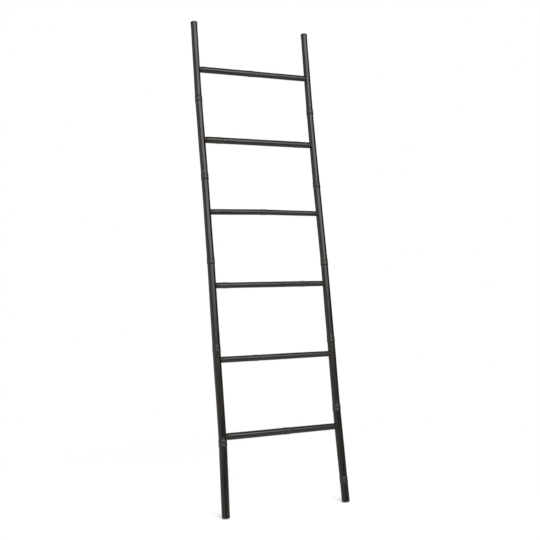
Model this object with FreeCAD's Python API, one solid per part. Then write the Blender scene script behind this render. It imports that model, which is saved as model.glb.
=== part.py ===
import FreeCAD, Part
import math
import os

# Blanket ladder of dark-stained bamboo, leaning as it stands in use: two long rails and six
# rungs.  Lengths are in millimetres and angles in degrees.  The ladder is drawn flat, with X
# across it, Y from its front to its back and Z up the rails; its mid-line is at x = 0.  At the
# end it is leaned back and set on the ground.

# ---- The ladder as a whole ----
lean_angle = 10.6              # of the rails from the upright
rail_spacing = 474.0           # centre to centre
foot_to_bottom_rung = 283.0
rung_spacing = 275.5
top_rung_to_top = 189.5

# ---- Bamboo stems ----
rail_wall = 6.5
rung_wall = 6.5
septum_thickness = 5.0         # the wall that closes the bore at each node
rail_node_step = 0.5           # loss of diameter from below a node to above it
rung_node_step = 0.4
rail_ring_gap = 16.0           # between a node's two rings
rung_ring_gap = 15.0
scar_height = 0.8              # the sheath scar, the sharp lower ring
ridge_height = 0.9             # the growth ridge, the round upper ring
waist_height = 0.3             # the band between the rings
ring_run_in = 4.0              # over which a ring rises from the stem
ring_fall = 2.0                # over which it falls back to the band
end_round = 4.0                # sanded edge at both ends of a rail

# ---- Rails ----
# Nodes are counted from the top.  A bow is how far the stem stands away from the middle of the
# ladder, off its straight line, at each node from the top and at the foot.
top_node_below_top = 8.0
left_foot_diameter = 29.9
left_top_diameter = 24.6
left_internodes = (298.0, 303.0, 317.5, 325.0, 336.5)
left_bows = (-1.5, 1.5, -1.5, -2.0, 0.5, 1.5)
left_foot_bow = 10.0
right_foot_diameter = 30.6
right_top_diameter = 24.2
right_internodes = (319.0, 299.0, 310.0, 299.5, 262.0, 270.5)
right_bows = (0.5, -3.5, -2.0, 2.0, 1.0, -0.5, 3.0)
right_foot_bow = 4.5

# ---- Rungs, listed from the bottom ----
# Nodes are measured to the right of the mid-line.  Necks are the whittled lengths beside the
# rails.  A rise lifts a rung's nodes off its straight line, and a drop sets the whole rung below
# its even place.
rung_left_diameters = (25.8, 23.0, 22.0, 21.5, 24.5, 23.4)
rung_right_diameters = (24.2, 21.9, 21.0, 20.3, 23.5, 22.5)
rung_nodes = ((20.0,), (-85.0,), (-183.0, 135.0), (-6.0,), (-166.0, 165.0), (-11.0,))
rung_left_necks = (10.0, 2.5, 2.5, 2.5, 9.0, 9.0)
rung_right_necks = (9.0, 2.5, 9.0, 2.5, 9.0, 4.0)
rung_rises = (0.0, 0.0, 0.0, 2.4, 0.0, 0.0)
rung_drops = (0.0, 0.0, 3.0, 2.0, 0.5, 0.0)

# ---- Joints between rungs and rails ----
tenon_diameter = 18.0
glue_clearance = 0.1           # all round a tenon in its socket
seat_clearance = 0.3           # between a rung's neck and the rail that it meets
wood_behind_socket = 6.0
tenon_end_clearance = 0.5
nail_diameter = 2.0
nail_head_diameter = 4.2
nail_head_height = 1.4
nail_point_length = 2.5
nail_point_diameter = 0.6
wood_before_nail = 2.0         # from the nail's point to the front of the tenon
nail_clearance = 0.05
nail_point_clearance = 0.3

# ---- How the solids are put together ----
node_overlap = 3.0             # lengths of stem run this far past a node before they are cut off there
lowest_node = 20.0             # no node stands nearer to the foot than this
overrun = 1.0                  # a bore is cut this far past an open end
REACH_STEPS = 8                # places tried where a rung meets a rail

X = FreeCAD.Vector(1, 0, 0)
Y = FreeCAD.Vector(0, 1, 0)
Z = FreeCAD.Vector(0, 0, 1)

rail_length = foot_to_bottom_rung + (len(rung_nodes) - 1) * rung_spacing + top_rung_to_top


def lathe(base, axis, seam, outline):
    """Solid turned about an axis from an outline of (along, out) points, closed at the axis.

    A point with a third value isn't a corner: an arc passes through it.
    """
    out = (seam - axis * seam.dot(axis)).normalize()
    points = [(outline[0][0], 0)] + outline + [(outline[-1][0], 0)]
    spots = [base + axis * point[0] + out * point[1] for point in points]
    edges = [Part.makeLine(spots[-1], spots[0])]
    at = 0
    while at < len(spots) - 1:
        if len(points[at + 1]) == 3:
            edges.append(Part.Arc(spots[at], spots[at + 1], spots[at + 2]).toShape())
            at += 2
        else:
            edges.append(Part.makeLine(spots[at], spots[at + 1]))
            at += 1
    return Part.Face(Part.Wire(Part.sortEdges(edges)[0])).revolve(base, axis, 360)


def rounding(start, low, end, high):
    """Quarter of an oval from (start, low), square to the axis, to (end, high), along it."""
    turn = math.sqrt(0.5)
    middle = (start + (end - start) * (1 - turn), low + (high - low) * turn, "arc")
    return [(start, low), middle, (end, high)]


def direction(start, end):
    return (end - start).normalize()


def between(points, place):
    """Value at a place on the line through (place, value) points, straight on past its ends."""
    points = sorted(points)
    first = 0
    while first < len(points) - 2 and place > points[first + 1][0]:
        first += 1
    (start, low), (end, high) = points[first:first + 2]
    return low + (high - low) * (place - start) / (end - start)


class Stem:
    """A bamboo stem of straight lengths that meet, bending a little, at its nodes.

    Places are measured along X or Z, whichever the stem follows, from its thick end.  Joints
    are the two ends and the nodes between them.  An outline runs from a joint along the stem.
    """

    def __init__(self, line, diameters, taper, nodes, joints, bore_ends, kind):
        self.line = line
        self.diameters = diameters
        self.taper = taper
        self.nodes = nodes
        self.joints = joints
        self.bore_ends = bore_ends
        self.step, self.gap, self.wall, self.seam = kind

    def radius(self, place):
        """Radius between the nodes: an even taper, and a step in at each node passed."""
        loss = self.diameters[0] - self.diameters[1] - self.step * len(self.nodes)
        passed = sum(1 for node in self.nodes if node < place)
        share = (place - self.taper[0]) / (self.taper[1] - self.taper[0])
        return (self.diameters[0] - loss * share - self.step * passed) / 2

    def half_node(self, node, side):
        """Outline from a node's middle, over its scar below (-1) or its ridge above (1)."""
        waist = (self.radius(node - self.gap) + self.radius(node + self.gap)) / 2 + waist_height
        stem = self.radius(node + side * self.gap)
        ring = self.gap / 2
        return [
            (-node_overlap, waist),
            (ring - ring_fall, waist),
            (ring, stem + (ridge_height if side > 0 else scar_height)),
            (ring + ring_run_in, stem),
        ]

    def outlines(self, number):
        """The outlines of one straight length, from its lower joint and from its upper one."""
        low, high = self.joints[number:number + 2]
        lower = self.half_node(low, 1) if number > 0 else self.low_end()
        upper = self.half_node(high, -1) if high != self.joints[-1] else self.high_end()
        return lower, upper

    def straight(self, number):
        """One straight length, solid, running just past the joints that are nodes."""
        start, end = [self.centre(joint) for joint in self.joints[number:number + 2]]
        length = start.distanceToPoint(end)
        lower, upper = self.outlines(number)
        upper = [(length - point[0], *point[1:]) for point in reversed(upper)]
        return lathe(start, direction(start, end), self.seam, lower + upper)

    def bore(self, number):
        """The hollow of one straight length, between the walls at its nodes."""
        places = [self.joints[number] + septum_thickness / 2]
        places.append(self.joints[number + 1] - septum_thickness / 2)
        if number == 0:
            places[0] = self.bore_ends[0]
        if number == len(self.joints) - 2:
            places[1] = self.bore_ends[1]
        start, end = [self.centre(place) for place in places]
        near, far = [self.radius(place) - self.wall for place in places]
        outline = [(0, near), (start.distanceToPoint(end), far)]
        return lathe(start, direction(start, end), self.seam, outline)

    def past(self, number, side):
        """A block past the plane that halves the bend at a joint: above (1) or below (-1)."""
        before, middle, after = [self.centre(joint) for joint in self.joints[number - 1:number + 2]]
        bend = direction(before, middle) + direction(middle, after)
        size = max(self.diameters)
        return Part.makeCylinder(size, size, middle, bend * side)

    def solid(self):
        lengths = []
        last = len(self.joints) - 2
        for number in range(last + 1):
            cuts = [self.bore(number)]
            if number > 0:
                cuts.append(self.past(number, -1))
            if number < last:
                cuts.append(self.past(number + 1, 1))
            lengths.append(self.straight(number).cut(cuts))
        return lengths[0].fuse(lengths[1:]) if last > 0 else lengths[0]


class Rail(Stem):
    """One of the two long stems, thick end down."""

    def __init__(self, side, diameters, internodes, bows, foot_bow):
        self.side = side
        places = [rail_length - top_node_below_top]
        for internode in internodes:
            places.append(places[-1] - internode)
        bowed = [(place, bow) for place, bow in zip(places, bows) if place > lowest_node]
        nodes = sorted(place for place, bow in bowed)
        joints = [0.0] + nodes[:-1] + [rail_length]
        bore_ends = (-overrun, nodes[-1] - septum_thickness / 2)
        super().__init__(
            [(0.0, foot_bow)] + bowed, diameters, (0.0, rail_length), nodes, joints, bore_ends,
            (rail_node_step, rail_ring_gap, rail_wall, X * side)
        )

    def centre(self, place):
        out = rail_spacing / 2 + between(self.line, place)
        return FreeCAD.Vector(self.side * out, 0, place)

    def face(self, place, reach):
        """Distance from the mid-line to the rail at its nearest, over a rung's own height."""
        outline = [(end, self.radius(end)) for end in self.taper]
        for node in self.nodes:
            for side in (-1, 1):
                half = self.half_node(node, side)[1:]
                outline += [(node + side * away, out) for away, out in half]
        tried = [place + reach * (2 * step / REACH_STEPS - 1) for step in range(REACH_STEPS + 1)]
        return min(abs(self.centre(spot).x) - between(outline, spot) for spot in tried)

    def low_end(self):
        """The foot, sawn square and sanded round."""
        radius = self.radius(0.0)
        return rounding(0, radius - end_round, end_round, radius)

    def high_end(self):
        """The top, sawn off on a node: its ridge is the flared, sanded end."""
        stem = self.radius(self.nodes[-1])
        flare = stem + ridge_height
        scar = top_node_below_top + self.gap / 2
        return rounding(0, flare - end_round, end_round, flare) + [
            (scar - ring_fall, stem + waist_height),
            (scar, stem + scar_height),
            (scar + ring_run_in, stem),
        ]


class Rung(Stem):
    """One rung, thick end to the left, with a tenon whittled at each end."""

    def __init__(self, number, rails):
        self.height = foot_to_bottom_rung + number * rung_spacing - rung_drops[number]
        nodes = rung_nodes[number]
        diameters = (rung_left_diameters[number], rung_right_diameters[number])
        necks = (rung_left_necks[number], rung_right_necks[number])
        reach = max(diameters) / 2
        self.seats = [
            rail.side * (rail.face(self.height, reach) - seat_clearance) for rail in rails
        ]
        self.shoulders = [
            seat - rail.side * neck for seat, rail, neck in zip(self.seats, rails, necks)
        ]
        self.tips = [
            self.socket_end(rail) - rail.side * tenon_end_clearance for rail in rails
        ]
        line = [(rail.centre(self.height).x, 0.0) for rail in rails]
        line += [(node, rung_rises[number]) for node in nodes]
        bore_ends = (self.tips[0] - overrun, self.tips[1] + overrun)
        super().__init__(
            line, diameters, self.shoulders, nodes, [self.tips[0], *nodes, self.tips[1]],
            bore_ends, (rung_node_step, rung_ring_gap, rung_wall, Z)
        )

    def centre(self, place):
        return FreeCAD.Vector(place, 0, self.height + between(self.line, place))

    def socket_end(self, rail):
        """Place of the bottom of this rung's socket in a rail."""
        out = abs(rail.centre(self.height).x) + rail.radius(self.height) - wood_behind_socket
        return rail.side * out

    def tenon(self, end):
        """Outline from the tip of a tenon, over the rounded neck, to the full stem."""
        tip, seat, shoulder = self.tips[end], self.seats[end], self.shoulders[end]
        radius = tenon_diameter / 2
        neck = rounding(abs(seat - tip), radius, abs(shoulder - tip), self.radius(shoulder))
        return [(0, radius)] + neck

    def low_end(self):
        return self.tenon(0)

    def high_end(self):
        return self.tenon(1)

    def socket(self, rail, end):
        """The hole in a rail that takes one of this rung's tenons."""
        start = self.centre(self.shoulders[end])
        bottom = self.centre(self.socket_end(rail))
        radius = tenon_diameter / 2 + glue_clearance
        length = start.distanceToPoint(bottom)
        return Part.makeCylinder(radius, length, start, direction(start, bottom))


def nail(rail, place, play, point_play):
    """A flush nail driven in from the back of a rail or, with play, the hole that takes it."""
    back = rail.radius(place)
    shank = nail_diameter / 2 + play
    head = nail_head_diameter / 2 + play
    point = wood_before_nail - tenon_diameter / 2
    outline = [
        (point - point_play, nail_point_diameter / 2),
        (point + nail_point_length, shank),
        (back - nail_head_height, shank),
        (back - nail_head_height / 4, head),
        (back + play, head),
    ]
    return lathe(rail.centre(place), Y, Z, outline)


def build_ladder():
    """Every solid of the ladder by name, still flat."""
    left = Rail(
        -1, (left_foot_diameter, left_top_diameter), left_internodes, left_bows, left_foot_bow
    )
    right = Rail(
        1, (right_foot_diameter, right_top_diameter), right_internodes, right_bows, right_foot_bow
    )
    rails = {"left": left, "right": right}
    pieces = {f"rail_{side}": rail.solid() for side, rail in rails.items()}
    for number in range(len(rung_nodes)):
        rung = Rung(number, [left, right])
        name = f"rung_{number + 1}"
        pieces[name] = rung.solid()
        for end, (side, rail) in enumerate(rails.items()):
            hole = nail(rail, rung.height, nail_clearance, nail_point_clearance)
            cuts = [rung.socket(rail, end), hole]
            pieces[f"rail_{side}"] = pieces[f"rail_{side}"].cut(cuts)
            pieces[name] = pieces[name].cut(hole)
            pieces[f"nail_{side}_{number + 1}"] = nail(rail, rung.height, 0.0, 0.0)
    return pieces


def stand(pieces):
    """Lean the ladder back and set it on the ground, the middle of its plan at the origin."""
    for shape in pieces.values():
        shape.rotate(FreeCAD.Vector(), X, -lean_angle)
    whole = Part.makeCompound(list(pieces.values())).optimalBoundingBox(False)
    for shape in pieces.values():
        shape.translate(FreeCAD.Vector(-whole.Center.x, -whole.Center.y, -whole.ZMin))
    return pieces


os.makedirs("parts", exist_ok=True)
for name, shape in stand(build_ladder()).items():
    shape.exportStep(f"parts/{name}.step")
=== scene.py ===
import math

import bmesh
import bpy
import numpy as np
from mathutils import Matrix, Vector
from mathutils.bvhtree import BVHTree


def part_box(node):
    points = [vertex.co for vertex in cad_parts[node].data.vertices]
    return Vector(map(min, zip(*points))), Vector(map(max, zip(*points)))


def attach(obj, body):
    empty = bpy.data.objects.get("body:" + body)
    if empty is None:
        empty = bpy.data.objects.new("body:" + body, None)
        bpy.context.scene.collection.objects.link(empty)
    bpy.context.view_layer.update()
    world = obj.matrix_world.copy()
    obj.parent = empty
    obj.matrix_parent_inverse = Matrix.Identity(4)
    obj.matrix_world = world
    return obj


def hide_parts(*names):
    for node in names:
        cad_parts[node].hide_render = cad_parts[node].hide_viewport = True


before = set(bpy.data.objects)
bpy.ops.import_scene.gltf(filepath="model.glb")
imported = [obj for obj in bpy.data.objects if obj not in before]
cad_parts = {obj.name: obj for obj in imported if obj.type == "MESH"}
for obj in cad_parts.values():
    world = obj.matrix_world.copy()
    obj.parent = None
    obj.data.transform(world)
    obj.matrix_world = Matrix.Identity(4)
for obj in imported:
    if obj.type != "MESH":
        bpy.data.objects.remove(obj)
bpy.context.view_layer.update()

# A blanket ladder of black-stained bamboo.  Two culms are its rails and six thinner ones its
# rungs.  Every stem is turned round its own bent line: the line and the girth are measured on the
# frame, and what a lathe can't give, such as growth, branch grooves and knife marks, moves its
# skin by about a millimetre.  Sizes are in millimetres, except where a comment says metres.

MM = 0.001
SIDES = ("left", "right")
NUMBERS = range(1, 7)          # of the rungs, and of the nails in each rail, from the bottom
RUNGS = tuple(f"rung_{number}" for number in NUMBERS)
WHITE = (1.0, 1.0, 1.0, 1.0)

# ---- How the stems are measured ----
RAYS = 24                      # aimed at a stem from all round
RAY_REACH = 45.0               # they start this far from its line
SECTION_STEP = 20.0            # between the sections that give the centre line
END_MARGIN = 8.0               # sections stay this far from an end, whose edge is rounded
SOCKET_DIP = 0.25              # a ray that ends this far inside the skin has gone into a hole
CIRCLE_FITS = 4                # each leaves out the rays that the fit before found in a hole
TAPER_FITS = 3                 # each leaves out the rings that the fit before found
GIRTH_SHARE = 75               # percentile of the rays' distances, which flat facets don't lower
TAPER_SLACK = 0.25             # between the nodes, the skin stays this near to its taper
RING_RISE = 0.5                # and only at a node's rings does it stand this far out of it
FIRST_RING = 12.0              # no such ring lies nearer than this to a stem's start
LAST_RING = 1.0                # or this to its end
RING_GAP = 3                   # samples of the girth further apart than this are of two rings
END_RAY_RADII = (5.0, 7.0, 8.0, 9.5, 10.2)     # of the rays along a stem that find its ends

# ---- Where the turned rings lie ----
FINE_STEP = 0.5
PLAIN_STEP = 5.0               # along a plain stretch of a stem
CLOSE_REACH = 7.0              # on each side of a node's rings
NECK_REACH = 16.0              # of a rung's whittled neck, from where its tenon starts
NECK_MARGIN = 2.0              # rings lie close from this far before a neck
# From a rail's ends over their rounded edges.
EDGE_PLACES = (0.05, 0.35, 0.8, 1.3, 1.9, 2.6, 3.3, 4.0, 4.6, 5.4)
TOP_MARGIN = 6.0               # even rings stop this far from a rail's top, before its edge's
FACE_SHARES = (0.8, 0.6, 0.4, 0.2, 0.0)        # across a rail's sawn top
FOOT_SHARES = (0.3, 0.6, 0.9)  # across the sawn ring of wood round its bore
RAIL_SIDES = 88
RUNG_SIDES = 72
RUNG_NODE_MARGIN = 45.0        # a rung's nodes are looked for this far from its ends

BORE_LOOK = 0.25               # a bore's radius is measured at this share of its depth
# A rail's bore.  Under the node that closes it: how far below, and the share of its radius there.
# Down its wall: the share of its depth.  At its sanded mouth: how far above, and how much wider.
BORE_TOP = ((0.0, 0.0), (0.0, 0.6), (1.0, 0.93))
BORE_SHARES = (0.97, 0.9, 0.75, 0.6, 0.45, 0.3, 0.15, 0.05)
BORE_MOUTH = ((0.6, 0.0), (0.2, 0.1), (0.0, 0.45))

# ---- What the lathe can't give ----
RAIL_OVAL = 0.7                # the culm is out of round by this much
RUNG_OVAL = 0.5
FLUTES = 0.25                  # shallow lengthwise hollows
END_FADE = 120.0               # a rail's sanded ends are round
SWELL = 0.7                    # share of both that stands outside the lathe's round
# Both come from noise: its waves round the stem, and its length along it in metres.
GROWTH = {"Oval": (0.9, 0.18), "Flutes": (3.2, 0.11)}
NOISE_SPREAD = (0.25, 0.75)    # where nearly all of a noise lies
RAIL_SEEDS = (3.0, 10.0)       # where in the noise the left and the right rail grew
RUNG_SEEDS = (20.0, 25.0, 30.0, 35.0, 40.0, 45.0)
# How the skin swells between a node's two rings and, over that, at the lower one, to its girth.
NODE_SWELL = {"rail": (0.028, 0.022), "rung": (0.01, 0.012)}
NODE_FADE = 6.0                # above and below the node
SCAR_WIDTH = 2.8
# The finish paints this crease darker than the skin round it: painted shade in the crease.
LINE_BELOW_SCAR = 2.4          # a crease under the sharp ring that the sheath leaves
LINE_WIDTH = 1.1
LINE_DEPTH = 0.22
BAND_FADE = 2.5                # of the paler skin between a node's two rings
GROOVE_DEPTH = 0.75            # branch groove above a node
GROOVE_LENGTH = 95.0
GROOVE_RUNOUT = 1.5            # power by which it gets shallower
GROOVE_NARROW = 9.0            # how steeply it falls off round the stem
KNOB_ABOVE_RIDGE = 9.0         # trimmed branch bud at the foot of that groove
KNOB_LENGTH = 3.4
KNOB_HEIGHT = 0.9
KNOB_NARROW = 34.0
NODE_WAVE = 1.6                # a node's rings run this unevenly round the stem
WAVE_REACH = 9.8               # of that, from a ring
WAVE_SCALE = 0.8               # of its noise round the stem
WAVE_DRIFT = 5.0               # of its noise from node to node, in a metre
WHOLE_NODE = 150.0             # nearer to an end than this, a node swells less
KNIFE_DEPTH = 0.45             # flats left by the knife on a rung's neck
KNIFE_START = 3.0              # from the neck's start to where they are deepest
KNIFE_CUTS = 9.0               # round the neck
KNIFE_WANDER = 90.0            # radians of the cuts' own wave in a metre

# ---- Marks for the finish ----
WORN_SCAR = 1.0                # reach of the wear at a sharp ring,
WORN_RIDGE = 1.8               # at a round one
WORN_EDGE = 1.6                # and at a sanded edge
RIDGE_WEAR = 0.4               # how worn a round ring is, where a sharp one is 1
SANDED_EDGE = 2.0              # from a rail's end
CUT_FADE = 3.0                 # of the bare wood, from a rail's end up its skin
NECK_BARE = 0.35               # how much wood the knife has bared where a neck starts

# Which way each stem's branch buds face, in degrees round from the right (rails) or from the back
# (rungs); node by node from the lower or left end.  Buds alternate from side to side.
BUD_TURNS = {
    "rail_left": (255, 80, 60, 235, 70, 250),
    "rail_right": (70, 262, 85, 40, 75, 100, 80),
    "rung_1": (35,),
    "rung_2": (150,),
    "rung_3": (215, 20),
    "rung_4": (125,),
    "rung_5": (200, 30),
    "rung_6": (160,),
}

# ---- Joints ----
TENON = 9.0                    # radius
TENON_CORE = 5.4               # radius of a ring inside its end face
TENON_BEVEL = 0.6
NECK_START = TENON * 1.02      # a rung is thicker than this from its neck on
GLUE_LINE = 0.1                # all round a tenon in its socket
SOCKET_END_GAP = 0.5
SOCKET_REACH = 40.0            # a socket is bored from this far inside the ladder
SOCKET_SIDES = 64
NAIL_HOLE_SIDES = 32
NAIL_HOLE_REACH = 8.0          # a nail's hole is bored from this far above its head
NAIL_SHANK = 2.0
NAIL_HEAD = 4.2
NAIL_HEAD_HEIGHT = 1.4
# Depth below the head's top or height above its underside, and the share of its radius there.
NAIL_DOME = ((0.0, 0.0), (0.02, 0.35), (0.07, 0.65), (0.16, 0.88), (0.32, 1.0))
NAIL_UNDERSIDE = ((0.5, 1.0), (0.1, 0.72))
NAIL_POINT = 2.5
NAIL_PLAY = 0.05
NAIL_SIDES = 24
GRIP_RINGS = 5
GRIP_START = 0.6               # under the head
GRIP_STEP = 0.7
# Along one grip ring, and the share of the shank's radius there.
GRIP_PROFILE = ((0.0, 1.0), (0.12, 0.9), (0.3, 0.9), (0.42, 1.0))
CUT_EDGE = 38.0                # degrees between two faces, past which their edge shows as cut
WELD = 1e-6                    # metres; corners nearer than this are one

# ---- The camera ----
CAMERA_PLACE = (-1463.96, -3103.05, 964.26)
CAMERA_PITCH = -1.521          # degrees
CAMERA_YAW = 25.378            # degrees, to the right of straight at the ladder
LENS = 60.38
SENSOR = 36.0
FARTHEST_SEEN = 100.0          # metres


# =====================================================================================
#  Small helpers
# =====================================================================================

def srgb(code):
    """A hex colour as linear red, green, blue and alpha."""
    values = [int(code[at:at + 2], 16) / 255 for at in (1, 3, 5)]
    linear = [v / 12.92 if v <= 0.04045 else ((v + 0.055) / 1.055) ** 2.4 for v in values]
    return (*linear, 1.0)


def add(tree, kind, links=None, **settings):
    """Adds a node with its settings, and links or sets its inputs by name or number."""
    node = tree.nodes.new(kind)
    for name, value in settings.items():
        setattr(node, name, value)
    for key, value in (links or {}).items():
        if isinstance(key, int):
            socket = node.inputs[key]
        else:
            socket = next(s for s in node.inputs if s.name == key and s.enabled)
        if isinstance(value, bpy.types.Node):
            value = next(s for s in value.outputs if s.enabled)
        if isinstance(value, bpy.types.NodeSocket):
            tree.links.new(value, socket)
        else:
            socket.default_value = value
    return node


def maths(tree, operation, *values):
    return add(tree, "ShaderNodeMath", dict(enumerate(values)), operation=operation)


def vectors(tree, operation, *values):
    return add(tree, "ShaderNodeVectorMath", dict(enumerate(values)), operation=operation)


def scaled(tree, vector, factor):
    return add(tree, "ShaderNodeVectorMath", {0: vector, "Scale": factor}, operation="SCALE")


def spread(tree, value, low, high, to_low=0.0, to_high=1.0):
    """A value between low and high, spread over another range and held within it."""
    ends = {"From Min": low, "From Max": high, "To Min": to_low, "To Max": to_high}
    return add(tree, "ShaderNodeMapRange", {"Value": value, **ends}).outputs[0]


def mixed(tree, share, under, over):
    """Two colours mixed: all of the first at share 0, all of the second at 1."""
    # The node's inputs 6 and 7 and its output 2 are those for colours.
    return add(tree, "ShaderNodeMix", {0: share, 6: under, 7: over}, data_type="RGBA").outputs[2]


def bare_material(name):
    """A new material and its tree, which has no nodes yet."""
    made = bpy.data.materials.new(name)
    made.use_nodes = True
    made.node_tree.nodes.clear()
    return made, made.node_tree


def modelling_tree(name, inputs, output):
    """A new Geometry Nodes tree with its named sockets, and what its inputs give."""
    tree = bpy.data.node_groups.new(name, "GeometryNodeTree")
    for label, kind in inputs.items():
        tree.interface.new_socket(label, in_out="INPUT", socket_type="NodeSocket" + kind)
    tree.interface.new_socket(output, in_out="OUTPUT", socket_type="NodeSocketGeometry")
    return tree, add(tree, "NodeGroupInput").outputs


def give(modifier, tree, **values):
    """Sets a modifier's inputs by their names in the tree."""
    for item in tree.interface.items_tree:
        if item.item_type == "SOCKET" and item.in_out == "INPUT" and item.name in values:
            modifier[item.identifier] = values[item.name]


def make_object(name, mesh):
    made = bpy.data.objects.new(name, mesh)
    bpy.context.scene.collection.objects.link(made)
    return made


def settled(made, name):
    """The evaluated object as a plain mesh of its own, with no modifier left."""
    bpy.context.view_layer.update()
    seen = made.evaluated_get(bpy.context.evaluated_depsgraph_get())
    plain = make_object(name, bpy.data.meshes.new_from_object(seen))
    bpy.data.objects.remove(made)
    return plain


def smooth(piece, finish):
    """One finish on every face, and soft shading but for the edges that were cut."""
    mesh = piece.data
    mesh.materials.clear()
    mesh.materials.append(finish)
    mesh.polygons.foreach_set("material_index", [0] * len(mesh.polygons))
    mesh.polygons.foreach_set("use_smooth", [True] * len(mesh.polygons))
    mesh.set_sharp_from_angle(angle=math.radians(CUT_EDGE))


def all_round(side, back, count):
    """Directions evenly all round a line, from its side towards its back."""
    turns = [2 * math.pi * number / count for number in range(count)]
    return [side * math.cos(turn) + back * math.sin(turn) for turn in turns]


# =====================================================================================
#  Directions of the ladder, from the frame
# =====================================================================================

def middle(node):
    low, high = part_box(node)
    return (low + high) / 2


ACROSS = Vector((1.0, 0.0, 0.0))
UP = middle(RUNGS[-1]) - middle(RUNGS[0])
UP.x = 0.0
UP.normalize()
BACK = UP.cross(ACROSS)


# =====================================================================================
#  Measuring a stem
# =====================================================================================

class Stem:
    """A stem's bent centre line and its girth, measured on the frame with rays.

    side, back and along are its three directions.  Places run along its line in millimetres,
    from its left or lower end.
    """

    def __init__(self, node, side, back, along):
        self.node = node
        self.side, self.back = side, back
        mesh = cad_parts[node].data
        corners = [corner.co.copy() for corner in mesh.vertices]
        self.skin = BVHTree.FromPolygons(corners, [tuple(p.vertices) for p in mesh.polygons])
        self.measure_line(np.array(corners), np.array(along))
        self.marks -= self.end_place(-1)
        self.length = self.end_place(1)
        self.fine = np.arange(FINE_STEP, self.length, FINE_STEP)
        self.fine_girths = np.array([self.girth(place) for place in self.fine])

    def measure_line(self, corners, along):
        """The middles of the stem's sections, and the direction of its line at each."""
        places = corners @ along
        margin = END_MARGIN * MM
        low = Vector(corners[places < places.min() + margin].mean(0))
        high = Vector(corners[places > places.max() - margin].mean(0))
        count = round((high - low).length / MM / SECTION_STEP)
        spots = [low.lerp(high, number / count) for number in range(count + 1)]
        middles = np.array([self.section_middle(spot) for spot in spots])
        middles[1:-1] = (middles[:-2] + 2 * middles[1:-1] + middles[2:]) / 4
        self.middles = middles
        runs = np.diff(middles, axis=0)
        lengths = np.linalg.norm(runs, axis=1)
        ways = runs / lengths[:, None]
        self.marks = np.concatenate([[0.0], np.cumsum(lengths)]) / MM
        self.ways = np.concatenate([ways[:1], (ways[:-1] + ways[1:]) / 2, ways[-1:]])

    def spot(self, place):
        """The point of the line at a place, running straight on past its ends."""
        inside = min(max(place, self.marks[0]), self.marks[-1])
        point = [np.interp(inside, self.marks, self.middles[:, axis]) for axis in range(3)]
        return Vector(point) + self.way(place) * (place - inside) * MM

    def way(self, place):
        way = [np.interp(place, self.marks, self.ways[:, axis]) for axis in range(3)]
        return Vector(way).normalized()

    def square_to(self, place):
        """The two directions of the ring at a place, square to the line."""
        way = self.way(place)
        side = (self.side - way * self.side.dot(way)).normalized()
        return side, way.cross(side)

    def distances(self, spot, side, back):
        """How far the skin lies from a spot inside it, on rays from all round."""
        found = []
        for out in all_round(side, back, RAYS):
            hit = self.skin.ray_cast(spot + out * RAY_REACH * MM, -out, RAY_REACH * MM)[0]
            found.append((hit - spot).length / MM if hit else 0.0)
        return np.array(found)

    def section_middle(self, spot):
        """Centre of the circle that fits the section here, without the rays into a hole."""
        turns = 2 * math.pi * np.arange(RAYS) / RAYS
        away = self.distances(spot, self.side, self.back)
        points = np.stack([away * np.cos(turns), away * np.sin(turns)], axis=1)
        kept = away > 0
        for _ in range(CIRCLE_FITS):
            known = np.column_stack([2 * points[kept], np.ones(kept.sum())])
            x, y, rest = np.linalg.lstsq(known, (points[kept] ** 2).sum(1), rcond=None)[0]
            radius = math.sqrt(rest + x * x + y * y)
            kept = np.hypot(points[:, 0] - x, points[:, 1] - y) > radius - SOCKET_DIP
        return spot + (self.side * x + self.back * y) * MM

    def girth(self, place):
        side, back = self.square_to(place)
        return np.percentile(self.distances(self.spot(place), side, back), GIRTH_SHARE)

    def end_place(self, way):
        """Where the stem is sawn off: at its start (-1) or at its far end (1)."""
        last = self.marks[0] if way < 0 else self.marks[-1]
        outside = last + way * RAY_REACH
        found = []
        for out in all_round(*self.square_to(last), RAYS):
            for radius in END_RAY_RADII:
                start = self.spot(outside) + out * radius * MM
                hit = self.skin.ray_cast(start, self.way(last) * -way, RAY_REACH * 2 * MM)[0]
                if hit:
                    found.append((hit - start).length / MM)
        return outside - way * min(found)

    def taper(self, margin):
        """The straight line that the girth follows between the nodes' rings."""
        inside = (self.fine > margin) & (self.fine < self.length - margin)
        kept = inside
        for _ in range(TAPER_FITS):
            line = np.polyfit(self.fine[kept], self.fine_girths[kept], 1)
            off = np.abs(self.fine_girths - np.polyval(line, self.fine))
            kept = inside & (off < TAPER_SLACK)
        return line

    def rings(self, margin):
        """Places of the nodes' rings: the sharp scars and, above each, the round ridges."""
        rise = self.fine_girths - np.polyval(self.taper(margin), self.fine)
        inside = (self.fine > max(margin, FIRST_RING)) & (self.fine < self.length - LAST_RING)
        high = np.flatnonzero((rise > RING_RISE) & inside)
        groups = np.split(high, np.flatnonzero(np.diff(high) > RING_GAP) + 1)
        tops = [self.fine[group[np.argmax(rise[group])]] for group in groups if len(group)]
        return tops[0::2], tops[1::2]


# =====================================================================================
#  The rings that each stem is turned from
# =====================================================================================

# What a ring carries besides its middle and its two directions.  "skin" is the share of growth
# that shows, "bud" an angle, and the last four are marks for the finish, from 0 to 1.  The rest
# are lengths.
RING_VALUES = ("girth", "place", "skin", "groove", "bud", "knob", "facet", "wave",
               "band", "line", "rub", "cut")
MARKS = RING_VALUES[-4:]


def hump(place, top, width):
    return math.exp(-((place - top) / width) ** 2)


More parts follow.
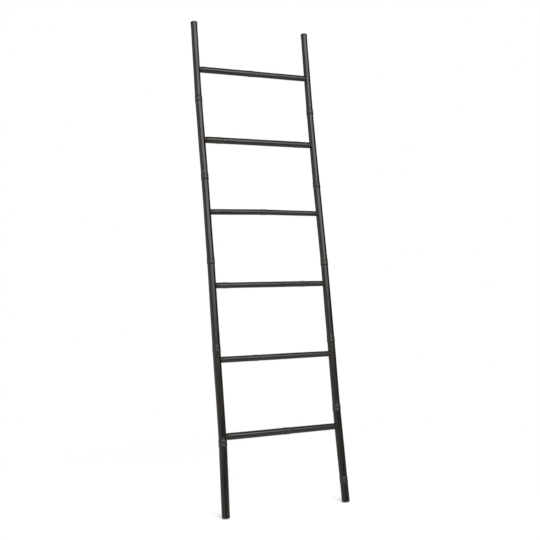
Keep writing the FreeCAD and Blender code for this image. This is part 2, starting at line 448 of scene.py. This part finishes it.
def skin_ring(stem, place, scars, ridges, edges):
    """One ring of a stem's skin, with what its nodes and sanded edges do to it."""
    ring = {"girth": stem.girth(place), "skin": 1.0}
    whole = min(1.0, place / WHOLE_NODE, (stem.length - place) / WHOLE_NODE)
    node_swell, scar_swell = NODE_SWELL[stem.node.split("_")[0]]
    flare = max(scar_swell * hump(place, scar, SCAR_WIDTH) for scar in scars)
    for scar in scars:
        ridge = min([r for r in ridges if r > scar], default=scar)
        beyond = max(scar - place, place - ridge, 0.0)
        flare += node_swell * (math.cos(math.pi * min(beyond / NODE_FADE, 1.0)) + 1) / 2
        if beyond < BAND_FADE:
            ring["band"] = 1.0 - beyond / BAND_FADE
    flare *= ring["girth"]
    line = max(hump(place, scar - LINE_BELOW_SCAR, LINE_WIDTH) for scar in scars)
    ring["girth"] += flare * whole - LINE_DEPTH * line
    # The finish uses this mark to paint the crease darker: painted shade.
    ring["line"] = line
    ring["rub"] = max([hump(place, scar, WORN_SCAR) for scar in scars]
                      + [RIDGE_WEAR * hump(place, ridge, WORN_RIDGE) for ridge in ridges]
                      + [hump(place, edge, WORN_EDGE) for edge in edges])
    nearest = min(abs(place - top) for top in scars + ridges)
    ring["wave"] = NODE_WAVE * whole * max(0.0, 1 - nearest / WAVE_REACH)

    above = place - max([r for r in ridges if r < place], default=-math.inf)
    if above < GROOVE_LENGTH:
        depth = GROOVE_DEPTH * (1 - above / GROOVE_LENGTH) ** GROOVE_RUNOUT
        ring["groove"] = depth * min(1.0, above / KNOB_ABOVE_RIDGE)
        ring["knob"] = KNOB_HEIGHT * hump(above, KNOB_ABOVE_RIDGE, KNOB_LENGTH)
    number = sum(r < place + CLOSE_REACH for r in ridges)
    ring["bud"] = math.radians(BUD_TURNS[stem.node][max(number - 1, 0)])
    return ring


def ring_mesh(stem, places, rings):
    """A row of points, one for each ring, that carry what the tree reads."""
    mesh = bpy.data.meshes.new(stem.node)
    spots, ways = [], {"side": [], "back": []}
    for place, ring in zip(places, rings):
        ring["place"] = place
        side, back = stem.square_to(place)
        spots.append(stem.spot(place))
        ways["side"].append(side)
        ways["back"].append(back)
    mesh.from_pydata(spots, [], [])
    for name, directions in ways.items():
        values = np.array(directions, dtype=np.float32).ravel()
        mesh.attributes.new(name, "FLOAT_VECTOR", "POINT").data.foreach_set("vector", values)
    for name in RING_VALUES:
        scale = 1.0 if name in ("skin", "bud") + MARKS else MM
        values = np.array([ring.get(name, 0.0) * scale for ring in rings], dtype=np.float32)
        mesh.attributes.new(name, "FLOAT", "POINT").data.foreach_set("value", values)
    return mesh


def skin_places(stem, close_spots, start, end):
    """Places of the rings along a skin: close together at its nodes and necks, else wide apart."""
    grid = np.arange(math.ceil(start), end, FINE_STEP)
    close = [any(low <= place <= high for low, high in close_spots) for place in grid]
    plain = np.isclose(grid % PLAIN_STEP, 0)
    return [float(place) for place in grid[np.array(close) | plain]]


def close_to_nodes(scars, ridges):
    return [(scar - CLOSE_REACH, ridge + CLOSE_REACH) for scar, ridge in zip(scars, ridges)]


def cut_rings(girths):
    return [{"girth": girth, "cut": 1.0} for girth in girths]


def bore(stem):
    """Radius and depth of the open hollow in a rail's foot."""
    along = stem.way(0)
    hit = stem.skin.ray_cast(stem.spot(-RAY_REACH), along)[0]
    depth = (hit - stem.spot(0)).length / MM
    place = depth * BORE_LOOK
    inside = stem.spot(place)
    found = [(stem.skin.ray_cast(inside, out)[0] - inside).length / MM
             for out in all_round(*stem.square_to(place), RAYS)]
    return max(found), depth


def rail_rings(stem):
    """Rings of a rail: up its bore's wall from the node inside, round the foot, and to the top."""
    scars, ridges = stem.rings(0)
    edges = (SANDED_EDGE, stem.length - SANDED_EDGE)
    radius, depth = bore(stem)
    hollow = [(depth - below, radius * share) for below, share in BORE_TOP]
    hollow += [(depth * share, radius) for share in BORE_SHARES]
    hollow += [(place, radius + wider) for place, wider in BORE_MOUTH]
    edge = stem.girth(EDGE_PLACES[0])
    hollow += [(0.0, radius + (edge - radius) * share) for share in FOOT_SHARES]
    places = [place for place, _ in hollow]
    rings = cut_rings(girth for _, girth in hollow)

    close = close_to_nodes(scars, ridges + [stem.length])
    ends = EDGE_PLACES + tuple(stem.length - place for place in EDGE_PLACES)
    plain = skin_places(stem, close, EDGE_PLACES[-1], stem.length - TOP_MARGIN)
    for place in sorted(ends + tuple(plain)):
        places.append(place)
        rings.append(skin_ring(stem, place, scars, ridges, edges))
        to_end = min(place, stem.length - place)
        rings[-1]["cut"] = max(0.0, 1.0 - to_end / CUT_FADE)
        rings[-1]["skin"] = min(1.0, to_end / END_FADE)
    last = stem.girth(stem.length - EDGE_PLACES[0])
    places += [stem.length] * len(FACE_SHARES)
    rings += cut_rings(last * share for share in FACE_SHARES)
    return ring_mesh(stem, places, rings)


def rung_rings(stem):
    """Rings of a rung: one tenon, its whittled neck, the skin, and back to the other tenon."""
    scars, ridges = stem.rings(RUNG_NODE_MARGIN)
    thick = stem.fine[stem.fine_girths > NECK_START]
    first, last = thick[0], thick[-1]
    close = [(first - NECK_MARGIN, first + NECK_REACH), (last - NECK_REACH, last + NECK_MARGIN)]
    close += close_to_nodes(scars, ridges)
    end = {0.0: (0.0, TENON_CORE, TENON - TENON_BEVEL), TENON_BEVEL: (TENON,)}
    tip = [(place, girth) for place, girths in end.items() for girth in girths]
    places = [place for place, _ in tip]
    rings = cut_rings(girth for _, girth in tip)
    for place in skin_places(stem, close, NECK_MARGIN, stem.length - NECK_MARGIN):
        ring = skin_ring(stem, place, scars, ridges, ())
        from_neck = min(place - first, last - place)
        if from_neck < 0:
            ring = {"girth": TENON, "cut": 1.0}
        elif from_neck < NECK_REACH:
            whittled = 1 - from_neck / NECK_REACH
            ring["skin"] = 1 - whittled
            ring["facet"] = KNIFE_DEPTH * min(1.0, from_neck / KNIFE_START) * whittled
            ring["cut"] = whittled * NECK_BARE
        places.append(place)
        rings.append(ring)
    places += [stem.length - place for place, _ in reversed(tip)]
    rings += cut_rings(girth for _, girth in reversed(tip))
    return ring_mesh(stem, places, rings)


# =====================================================================================
#  The tree that turns a stem
# =====================================================================================

def culm_tree():
    """Turns a row of points, one for each ring, into the closed skin of a bamboo stem."""
    inputs = {"Rings": "Geometry", "Sides": "Int", "Oval": "Float", "Flutes": "Float",
              "Swell": "Float", "Grown": "Float", "Finish": "Material"}
    tree, given = modelling_tree("bamboo culm", inputs, "Culm")

    # A grid of one row of corners for each ring; the last corner of a row closes it.
    counted = add(tree, "GeometryNodeAttributeDomainSize", {"Geometry": given["Rings"]})
    around = maths(tree, "ADD", given["Sides"], 1.0)
    grid = add(tree, "GeometryNodeMeshGrid",
               {"Vertices X": counted.outputs["Point Count"], "Vertices Y": around})
    index = add(tree, "GeometryNodeInputIndex")
    row = maths(tree, "DIVIDE", index, around)
    row = maths(tree, "FLOOR", row)
    step = maths(tree, "MODULO", index, around)
    share = maths(tree, "DIVIDE", step, given["Sides"])
    turn = maths(tree, "MULTIPLY", share, 2 * math.pi)

    def from_ring(value, kind):
        links = {"Geometry": given["Rings"], "Value": value, "Index": row}
        return add(tree, "GeometryNodeSampleIndex", links, data_type=kind, clamp=True)

    ring = {}
    kinds = {"side": "FLOAT_VECTOR", "back": "FLOAT_VECTOR", **dict.fromkeys(RING_VALUES, "FLOAT")}
    for name, kind in kinds.items():
        carried = add(tree, "GeometryNodeInputNamedAttribute", {"Name": name}, data_type=kind)
        ring[name] = from_ring(carried, kind)
    spot = from_ring(add(tree, "GeometryNodeInputPosition"), "FLOAT_VECTOR")

    cosine = maths(tree, "COSINE", turn)
    sine = maths(tree, "SINE", turn)
    right = scaled(tree, ring["side"], cosine)
    behind = scaled(tree, ring["back"], sine)
    out = vectors(tree, "ADD", right, behind)

    # Growth makes the skin out of round and shallowly fluted.
    girth = ring["girth"]
    for depth, (wave, reach) in GROWTH.items():
        along = maths(tree, "MULTIPLY", ring["place"], 1 / reach)
        across = maths(tree, "MULTIPLY", cosine, wave)
        through = maths(tree, "MULTIPLY", sine, wave)
        at = add(tree, "ShaderNodeCombineXYZ", {"X": across, "Y": through, "Z": along})
        noise = add(tree, "ShaderNodeTexNoise",
                    {"Vector": at, "W": given["Grown"], "Scale": 1.0, "Detail": 1.0},
                    noise_dimensions="4D")
        share = spread(tree, noise, *NOISE_SPREAD)
        share = maths(tree, "SUBTRACT", given["Swell"], share)
        grown = maths(tree, "MULTIPLY", share, given[depth])
        girth = maths(tree, "MULTIPLY_ADD", grown, ring["skin"], girth)

    # The groove that a branch lay in, with the trimmed stump of its bud at the foot.
    off = maths(tree, "SUBTRACT", turn, ring["bud"])
    facing = maths(tree, "COSINE", off)
    facing = maths(tree, "SUBTRACT", facing, 1.0)
    for name, width, way in (("groove", GROOVE_NARROW, "SUBTRACT"), ("knob", KNOB_NARROW, "ADD")):
        narrow = maths(tree, "MULTIPLY", facing, width)
        fall = maths(tree, "EXPONENT", narrow)
        depth = maths(tree, "MULTIPLY", fall, ring[name])
        girth = maths(tree, way, girth, depth)
    stump = maths(tree, "DIVIDE", depth, KNOB_HEIGHT * MM)

    # Knife flats round a whittled neck, which wander as they run along it.
    wander = maths(tree, "MULTIPLY", ring["place"], KNIFE_WANDER)
    cuts = maths(tree, "MULTIPLY_ADD", turn, KNIFE_CUTS, wander)
    cuts = maths(tree, "SINE", cuts)
    cuts = maths(tree, "MULTIPLY_ADD", cuts, 0.5, 0.5)      # from 0 to 1
    depth = maths(tree, "MULTIPLY", cuts, ring["facet"])
    girth = maths(tree, "SUBTRACT", girth, depth)

    reach = scaled(tree, out, girth)
    place = vectors(tree, "ADD", spot, reach)

    # A node's rings aren't cut square: they tilt and wave along the stem.
    at = add(tree, "ShaderNodeCombineXYZ", {"X": cosine, "Y": sine, "Z": given["Grown"]})
    along = maths(tree, "MULTIPLY", ring["place"], WAVE_DRIFT)
    noise = add(tree, "ShaderNodeTexNoise",
                {"Vector": at, "W": along, "Scale": WAVE_SCALE, "Detail": 1.0},
                noise_dimensions="4D")
    uneven = maths(tree, "SUBTRACT", noise, 0.5)
    uneven = maths(tree, "MULTIPLY", uneven, 2.0)           # from -1 to 1
    shift = maths(tree, "MULTIPLY", uneven, ring["wave"])
    way = vectors(tree, "CROSS_PRODUCT", ring["side"], ring["back"])
    way = scaled(tree, way, shift)
    place = vectors(tree, "ADD", place, way)
    made = add(tree, "GeometryNodeSetPosition", {"Geometry": grid, "Position": place})

    # For the finish: a place in the wood as it grew, straight along its fibres, and the marks.
    across = maths(tree, "MULTIPLY", cosine, girth)
    through = maths(tree, "MULTIPLY", sine, girth)
    grain = add(tree, "ShaderNodeCombineXYZ", {"X": across, "Y": through, "Z": ring["place"]})
    stored = {"grain": ("FLOAT_VECTOR", grain), "stump": ("FLOAT", stump)}
    stored.update({name: ("FLOAT", ring[name]) for name in MARKS})
    for name, (kind, value) in stored.items():
        made = add(tree, "GeometryNodeStoreNamedAttribute",
                   {"Geometry": made, "Name": name, "Value": value}, data_type=kind)
    made = add(tree, "GeometryNodeMergeByDistance", {"Geometry": made, "Distance": WELD})
    made = add(tree, "GeometryNodeFlipFaces", {"Mesh": made})
    made = add(tree, "GeometryNodeRealizeInstances", {"Geometry": made})
    made = add(tree, "GeometryNodeSetMaterial", {"Geometry": made, "Material": given["Finish"]})
    add(tree, "NodeGroupOutput", {"Culm": made})
    return tree


def make_stem(stem, name, rings, cutters, finish, sides, oval, grown):
    """The finished stem as a piece in place of its node, with its holes cut."""
    blank = make_object("blank", rings)
    turning = blank.modifiers.new("turning", "NODES")
    turning.node_group = CULM_TREE
    give(turning, CULM_TREE, Sides=sides, Oval=oval * MM, Flutes=FLUTES * MM, Swell=SWELL,
         Grown=grown, Finish=finish)
    for cutter in cutters:
        cut = blank.modifiers.new("cut", "BOOLEAN")
        cut.solver = "MANIFOLD"
        cut.object = cutter
    piece = settled(blank, name)
    smooth(piece, finish)
    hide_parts(stem.node)
    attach(piece, "root")


# =====================================================================================
#  Sockets, holes and nails
# =====================================================================================

def turned(name, shapes, sides):
    """A mesh of closed lathe-turned shapes.

    Each shape is a foot, a direction and a profile of (place, radius) pairs in millimetres.
    """
    made = bmesh.new()
    for foot, along, profile in shapes:
        side = along.orthogonal().normalized()
        outs = all_round(side, along.cross(side), sides)
        rows = []
        for place, radius in profile:
            centre = foot + along * place * MM
            if radius == 0:
                rows.append([made.verts.new(centre)] * sides)
            else:
                rows.append([made.verts.new(centre + out * radius * MM) for out in outs])
        for low, high in zip(rows, rows[1:]):
            for number in range(sides):
                after = (number + 1) % sides
                corners = dict.fromkeys((low[number], low[after], high[after], high[number]))
                made.faces.new(tuple(corners))
    mesh = bpy.data.meshes.new(name)
    made.to_mesh(mesh)
    made.free()
    return mesh


def socket_cutter(rung, side):
    """The round socket for one end of a rung, bored outwards."""
    place, out = (0.0, -rung.way(0.0)) if side == "left" else (rung.length, rung.way(rung.length))
    radius, deep = TENON + GLUE_LINE, SOCKET_REACH + SOCKET_END_GAP
    foot = rung.spot(place) - out * SOCKET_REACH * MM
    return foot, out, [(0, 0), (0, radius), (deep, radius), (deep, 0)]


class Nail:
    """Where a wire nail lies: its head's top, and how long it is in the frame."""

    def __init__(self, side, number):
        self.node = f"nail_{side}_{number}"
        corners = np.array([corner.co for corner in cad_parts[self.node].data.vertices])
        depths = corners @ np.array(BACK)
        head = corners[depths > depths.max() - NAIL_HEAD_HEIGHT * MM / 2]
        self.length = (depths.max() - depths.min()) / MM
        self.top = Vector((head.max(0) + head.min(0)) / 2)
        self.top += BACK * (depths.max() - self.top.dot(BACK))


def nail_cutter(nail):
    """The hole for a nail, bored inwards from behind."""
    shank, head = NAIL_SHANK / 2 + NAIL_PLAY, NAIL_HEAD / 2 + NAIL_PLAY
    under_head = NAIL_HEAD_HEIGHT + NAIL_PLAY
    profile = [(-NAIL_HOLE_REACH, 0), (-NAIL_HOLE_REACH, head), (under_head, head),
               (under_head, shank), (nail.length - NAIL_POINT, shank),
               (nail.length + NAIL_PLAY, 0)]
    return nail.top, -BACK, profile


def nail_shape(length):
    """A wire nail, point up, with its slightly domed and bevelled head at the origin."""
    shank, head = NAIL_SHANK / 2, NAIL_HEAD / 2
    profile = [(place, head * share) for place, share in NAIL_DOME]
    profile += [(NAIL_HEAD_HEIGHT - above, head * share) for above, share in NAIL_UNDERSIDE]
    profile.append((NAIL_HEAD_HEIGHT, shank))
    # Grip rings, stamped into the shank under the head by the nail machine's jaws.
    for number in range(GRIP_RINGS):
        start = NAIL_HEAD_HEIGHT + GRIP_START + GRIP_STEP * number
        profile += [(start + place, shank * share) for place, share in GRIP_PROFILE]
    profile += [(length - NAIL_POINT, shank), (length, 0)]
    return turned("wire nail", [(Vector(), Vector((0, 0, 1)), profile)], NAIL_SIDES)


def nails_tree():
    """Sets one nail on every point, turned the way that Drive points."""
    inputs = {"Heads": "Geometry", "Nail": "Object", "Drive": "Vector", "Finish": "Material"}
    tree, given = modelling_tree("wire nails", inputs, "Nails")
    nail = add(tree, "GeometryNodeObjectInfo", {"Object": given["Nail"]})
    turn = add(tree, "FunctionNodeAlignRotationToVector", {"Vector": given["Drive"]}, axis="Z")
    made = add(tree, "GeometryNodeInstanceOnPoints",
               {"Points": given["Heads"], "Instance": nail.outputs["Geometry"], "Rotation": turn})
    made = add(tree, "GeometryNodeRealizeInstances", {"Geometry": made})
    made = add(tree, "GeometryNodeSetMaterial", {"Geometry": made, "Material": given["Finish"]})
    add(tree, "NodeGroupOutput", {"Nails": made})
    return tree


# =====================================================================================
#  Finishes
# =====================================================================================

# Size across and along the fibres, with the noise's detail and its roughness.
PATTERNS = {
    "fibre": ((0.8, 60.0), 2.0, 0.5),
    "streak": ((3.4, 260.0), 2.0, 0.55),
    "patch": ((16.0, 120.0), 2.0, 0.5),
    "speck": ((1.6, 3.0), 1.0, 0.5),
}
# From where to where in its noise each pattern goes from nothing to all.
STREAK_SPREAD = (0.42, 0.66)
FIBRE_SPREAD = (0.35, 0.65)
PATCH_SPREAD = (0.3, 0.7)
SPECK_SPREAD = (0.3, 0.65)
FIBRE_SHADES = (0.55, 1.5)     # times the stain's colour
PATCH_SHADES = (0.78, 1.25)
PORES = 1.1                    # cells of bare wood in a millimetre
PORE_JITTER = 0.9
PORE_SPREAD = (0.16, 0.4)      # of the way from a pore to the next
BARE_DARK, BARE_PALE = "#12100e", "#2c2722"
# Marks on the skin: how much of the colour there shows through the stain, and that colour. Band
# and rub are the skin's own tone and wear; the dark line is painted shade in the crease under a
# scar.
WEAR_AND_PAINTED_SHADE = {"band": (0.42, "#302c29"), "rub": (0.26, "#4a4541"), "line": (0.75, "#0d0c0a")}
BARE_WOOD = 0.8                # the same for cut wood, whose colour is uneven
LEAST_WORN = 0.45              # share of the wear where it is least
# A branch's stump was cut flush: its face is worn, in a dark ring of old bark.
STUMP_TONES = ((0.12, 0.4, "#0b0a09"), (0.6, 0.85, "#5a5149"))
SHEEN_SPREAD = (-0.05, 0.08)   # added to the varnish's roughness
CUT_DULL, BAND_DULL = 0.25, 0.12               # roughness added there
SPECK_RISE, STREAK_RISE = 0.5, 1.5             # heights, where a fibre's is 1
VARNISH_IOR = 1.36
RELIEF = 0.05                  # depth of the fibres under varnish, and of the scuffs on a nail
FIBRE_BUMP, SCUFF_BUMP = 0.2, 0.4              # how strongly each shows
SCUFF_SIZE = 0.9
SCUFF_SPREAD = (0.5, 0.72)     # from clean to scuffed wire
SCUFF_SHEEN = (0.3, 0.7, 0.32, 0.55)           # a spread of the same noise over two roughnesses


def bamboo_finish(name, dark, brown, roughness):
    """Black-stained bamboo under a thin satin varnish.

    Bamboo's skin is waxy and takes stain unevenly, so the black breaks up into fine lengthwise
    fibres and broader streaks, and it stays brown-grey and dusty between a node's rings.  The
    varnish wears off first on the rings and the sanded edges, which shine paler.
    """
    made, tree = bare_material(name)
    # "grain" is a place in the wood with its fibres along z, in metres; here it is in millimetres.
    grain = add(tree, "ShaderNodeAttribute", attribute_name="grain").outputs["Vector"]
    grain = scaled(tree, grain, 1 / MM)
    mark = {}
    for word in MARKS:
        mark[word] = add(tree, "ShaderNodeAttribute", attribute_name=word).outputs["Fac"]
    field = {}
    for word, ((across, along), detail, rough) in PATTERNS.items():
        fitted = add(tree, "ShaderNodeMapping",
                     {"Vector": grain, "Scale": (1 / across, 1 / across, 1 / along)},
                     vector_type="POINT")
        field[word] = add(tree, "ShaderNodeTexNoise",
                          {"Vector": fitted, "Scale": 1.0, "Detail": detail, "Roughness": rough})

    # Colour, from the stain up to the wear, and the painted shade in the crease under each scar.
    streaks = spread(tree, field["streak"], *STREAK_SPREAD)
    colour = mixed(tree, streaks, srgb(dark), srgb(brown))
    fibres = spread(tree, field["fibre"], *FIBRE_SPREAD, *FIBRE_SHADES)
    patches = spread(tree, field["patch"], *PATCH_SPREAD, *PATCH_SHADES)
    shade = maths(tree, "MULTIPLY", fibres, patches)
    colour = scaled(tree, colour, shade)
    pores = add(tree, "ShaderNodeTexVoronoi",
                {"Vector": grain, "Scale": PORES, "Randomness": PORE_JITTER})
    dots = spread(tree, pores.outputs["Distance"], *PORE_SPREAD)
    bare = mixed(tree, dots, srgb(BARE_DARK), srgb(BARE_PALE))
    marked = {"cut": (BARE_WOOD, bare)}
    marked.update({word: (part, srgb(tone)) for word, (part, tone) in WEAR_AND_PAINTED_SHADE.items()})
    # The line mark darkens the crease under each scar with painted shade; the others are stain,
    # wear and bare wood.
    for word, (part, tone) in marked.items():
        uneven = spread(tree, field["speck"], *SPECK_SPREAD, part * LEAST_WORN, part)
        share = maths(tree, "MULTIPLY", uneven, mark[word])
        colour = mixed(tree, share, colour, tone)
    stump = add(tree, "ShaderNodeAttribute", attribute_name="stump").outputs["Fac"]
    for low, high, tone in STUMP_TONES:
        colour = mixed(tree, spread(tree, stump, low, high), colour, srgb(tone))

    # Sheen: dull where the knife or saw has been, and broken up by the fibres elsewhere.
    sheens = [roughness + change for change in SHEEN_SPREAD]
    dull = spread(tree, field["patch"], *NOISE_SPREAD, *sheens)
    dull = maths(tree, "MULTIPLY_ADD", mark["cut"], CUT_DULL, dull)
    dull = maths(tree, "MULTIPLY_ADD", mark["band"], BAND_DULL, dull)

    height = maths(tree, "MULTIPLY_ADD", field["speck"], SPECK_RISE, field["fibre"])
    height = maths(tree, "MULTIPLY_ADD", field["streak"], STREAK_RISE, height)
    bump = add(tree, "ShaderNodeBump",
               {"Strength": FIBRE_BUMP, "Distance": RELIEF * MM, "Height": height})
    shader = add(tree, "ShaderNodeBsdfPrincipled",
                 {"Base Color": colour, "Roughness": dull, "Normal": bump, "IOR": VARNISH_IOR})
    add(tree, "ShaderNodeOutputMaterial", {"Surface": shader})
    return made


def nail_finish():
    """Blued steel wire, drawn and headed cold: near black, with a dull oily shine and scuffs."""
    made, tree = bare_material("blued_nail_wire")
    place = add(tree, "ShaderNodeTexCoord")
    scuff = add(tree, "ShaderNodeTexNoise",
                {"Vector": place.outputs["Object"], "Scale": 1 / (SCUFF_SIZE * MM), "Detail": 3.0})
    marked = spread(tree, scuff, *SCUFF_SPREAD)
    colour = mixed(tree, marked, srgb("#2a2b2e"), srgb("#6a6865"))
    dull = spread(tree, scuff, *SCUFF_SHEEN)
    bump = add(tree, "ShaderNodeBump",
               {"Strength": SCUFF_BUMP, "Distance": RELIEF * MM, "Height": scuff})
    shader = add(tree, "ShaderNodeBsdfPrincipled",
                 {"Base Color": colour, "Roughness": dull, "Normal": bump, "Metallic": 1.0})
    add(tree, "ShaderNodeOutputMaterial", {"Surface": shader})
    return made


# =====================================================================================
#  The ladder
# =====================================================================================

CULM_TREE = culm_tree()
RAIL_FINISH = bamboo_finish("black_stained_bamboo_rail", "#13100d", "#201b17", 0.26)
RUNG_FINISH = bamboo_finish("black_stained_bamboo_rung", "#171310", "#28221c", 0.21)
NAIL_FINISH = nail_finish()

nails = {side: [Nail(side, number) for number in NUMBERS] for side in SIDES}
rungs = [Stem(node, BACK, UP, ACROSS) for node in RUNGS]
rails = {side: Stem(f"rail_{side}", ACROSS, BACK, UP) for side in SIDES}

sockets, holes = {}, {}
for side in SIDES:
    bored = turned("sockets", [socket_cutter(rung, side) for rung in rungs], SOCKET_SIDES)
    sockets[side] = make_object("sockets", bored)
    drilled = turned("nail holes", [nail_cutter(nail) for nail in nails[side]], NAIL_HOLE_SIDES)
    holes[side] = make_object("nail holes", drilled)

for side, seed in zip(SIDES, RAIL_SEEDS):
    make_stem(rails[side], f"{side}_rail_culm", rail_rings(rails[side]),
              (sockets[side], holes[side]), RAIL_FINISH, RAIL_SIDES, RAIL_OVAL, seed)
for number, rung, seed in zip(NUMBERS, rungs, RUNG_SEEDS):
    make_stem(rung, f"rung_culm_{number}", rung_rings(rung),
              tuple(holes.values()), RUNG_FINISH, RUNG_SIDES, RUNG_OVAL, seed)
for cutter in (*sockets.values(), *holes.values()):
    bpy.data.objects.remove(cutter)

every_nail = nails["left"] + nails["right"]
heads = bpy.data.meshes.new("nail heads")
heads.from_pydata([nail.top for nail in every_nail], [], [])
pattern = make_object("nail pattern", nail_shape(min(nail.length for nail in every_nail)))
driven = make_object("driven nails", heads)
driving = driven.modifiers.new("driving", "NODES")
driving.node_group = nails_tree()
give(driving, driving.node_group, Nail=pattern, Drive=-BACK, Finish=NAIL_FINISH)
wire_nails = settled(driven, "wire_nails")
bpy.data.objects.remove(pattern)
smooth(wire_nails, NAIL_FINISH)
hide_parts(*(nail.node for nail in every_nail))
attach(wire_nails, "root")


# =====================================================================================
#  Camera, floor and light
# =====================================================================================

camera = make_object("camera", bpy.data.cameras.new("camera"))
camera.location = Vector(CAMERA_PLACE) * MM
camera.rotation_euler = (math.radians(90 + CAMERA_PITCH), 0, math.radians(-CAMERA_YAW))
camera.data.sensor_width = SENSOR
camera.data.lens = LENS
camera.data.clip_end = FARTHEST_SEEN
bpy.context.scene.camera = camera

# From here on, sizes are in metres.
FLOOR_RADIUS = 9.0
FLOOR_SIDES = 64
FLOOR_GREY = 0.82
FLOOR_LIFT = 0.4               # white that the camera sees near the ladder, over the light's
FADE_START, FADE_END = 0.25, 1.3
AMBIENT = 0.24                 # the world's light on matt surfaces; seen or mirrored, it is 1

# Soft boxes: name, place, what it points at, width and height, and its radiance.
SOFT_BOXES = (
    ("window box", (-0.05, -3.35, 3.34), (0.0, 0.0, 1.1), 5.0, 3.0, 5.75),
    ("left fill", (-2.9, 1.15, 1.25), (0.0, 0.0, 1.0), 1.4, 2.6, 1.2),
    ("rear box", (1.25, 2.6, 1.7), (0.0, 0.1, 1.0), 3.2, 2.4, 1.6),
)
# Black cards, which give the glossy black its dark stripes: name, a corner and two edges from it.
CARDS = (
    ("front card", (-3.6, -4.6, 0.0), (6.2, 0.0, 0.0), (0.0, 0.0, 1.7)),
    ("right card", (2.4, -2.6, 0.0), (1.0, 6.8, 0.0), (0.0, 0.0, 3.6)),
    ("back card", (-2.2, 2.9, 0.0), (6.6, 0.0, 0.0), (0.0, 0.0, 5.2)),
    ("top card", (-2.6, -0.9, 4.3), (5.8, 0.0, 0.0), (0.0, 3.8, 0.0)),
)


def seen_or_mirrored(tree):
    """1 for what the camera sees, straight or by a mirror or glass, and 0 for light on matt."""
    path = add(tree, "ShaderNodeLightPath").outputs
    seen = maths(tree, "MAXIMUM", path["Is Camera Ray"], path["Is Glossy Ray"])
    return maths(tree, "MAXIMUM", seen, path["Is Transmission Ray"])


def floor_finish():
    """Matt white studio paper.  Far from the ladder it fades into the white background."""
    made, tree = bare_material("white_studio_paper")
    place = add(tree, "ShaderNodeTexCoord")
    away = vectors(tree, "LENGTH", place.outputs["Object"])
    far = add(tree, "ShaderNodeMapRange",
              {"Value": away.outputs["Value"], "From Min": FADE_START, "From Max": FADE_END},
              interpolation_type="SMOOTHSTEP")
    seen = seen_or_mirrored(tree)
    shine = maths(tree, "MULTIPLY", seen, FLOOR_LIFT)
    paper = add(tree, "ShaderNodeBsdfDiffuse", {"Color": (FLOOR_GREY,) * 3 + (1.0,)})
    lift = add(tree, "ShaderNodeEmission", {"Color": WHITE, "Strength": shine})
    near = add(tree, "ShaderNodeAddShader", {0: paper, 1: lift})
    white = add(tree, "ShaderNodeEmission", {"Color": WHITE, "Strength": 1.0})
    share = maths(tree, "MULTIPLY", far.outputs[0], seen)
    both = add(tree, "ShaderNodeMixShader", {0: share, 1: near, 2: white})
    add(tree, "ShaderNodeOutputMaterial", {"Surface": both})
    return made


def card_finish():
    """Black foam board, matt on both sides."""
    made, tree = bare_material("black_foam_board")
    board = add(tree, "ShaderNodeBsdfDiffuse", {"Color": srgb("#202020")})
    add(tree, "ShaderNodeOutputMaterial", {"Surface": board})
    return made


floor_mesh = bpy.data.meshes.new("floor")
floor_make = bmesh.new()
bmesh.ops.create_circle(floor_make, cap_ends=True, segments=FLOOR_SIDES, radius=FLOOR_RADIUS)
floor_make.to_mesh(floor_mesh)
floor_make.free()
floor = make_object("floor", floor_mesh)
floor_mesh.materials.append(floor_finish())

world = bpy.data.worlds.new("white studio")
bpy.context.scene.world = world
world.use_nodes = True
sky = world.node_tree
sky.nodes.clear()
strength = spread(sky, seen_or_mirrored(sky), 0.0, 1.0, AMBIENT, 1.0)
backdrop = add(sky, "ShaderNodeBackground", {"Color": WHITE, "Strength": strength})
add(sky, "ShaderNodeOutputWorld", {"Surface": backdrop})

for name, place, aim, width, height, radiance in SOFT_BOXES:
    lamp = bpy.data.lights.new(name, "AREA")
    lamp.shape = "RECTANGLE"
    lamp.size, lamp.size_y = width, height
    lamp.energy = radiance * math.pi * width * height
    box = make_object(name, lamp)
    box.location = place
    box.rotation_euler = (Vector(aim) - Vector(place)).to_track_quat("-Z", "Y").to_euler()
    box.visible_camera = False

board = card_finish()
for name, corner, across, up in CARDS:
    corner, across, up = Vector(corner), Vector(across), Vector(up)
    corners = [corner, corner + across, corner + across + up, corner + up]
    mesh = bpy.data.meshes.new(name)
    mesh.from_pydata(corners, [], [(0, 1, 2, 3)])
    mesh.materials.append(board)
    card = make_object(name, mesh)
    card.visible_camera = False

bpy.context.scene.view_settings.view_transform = "Standard"
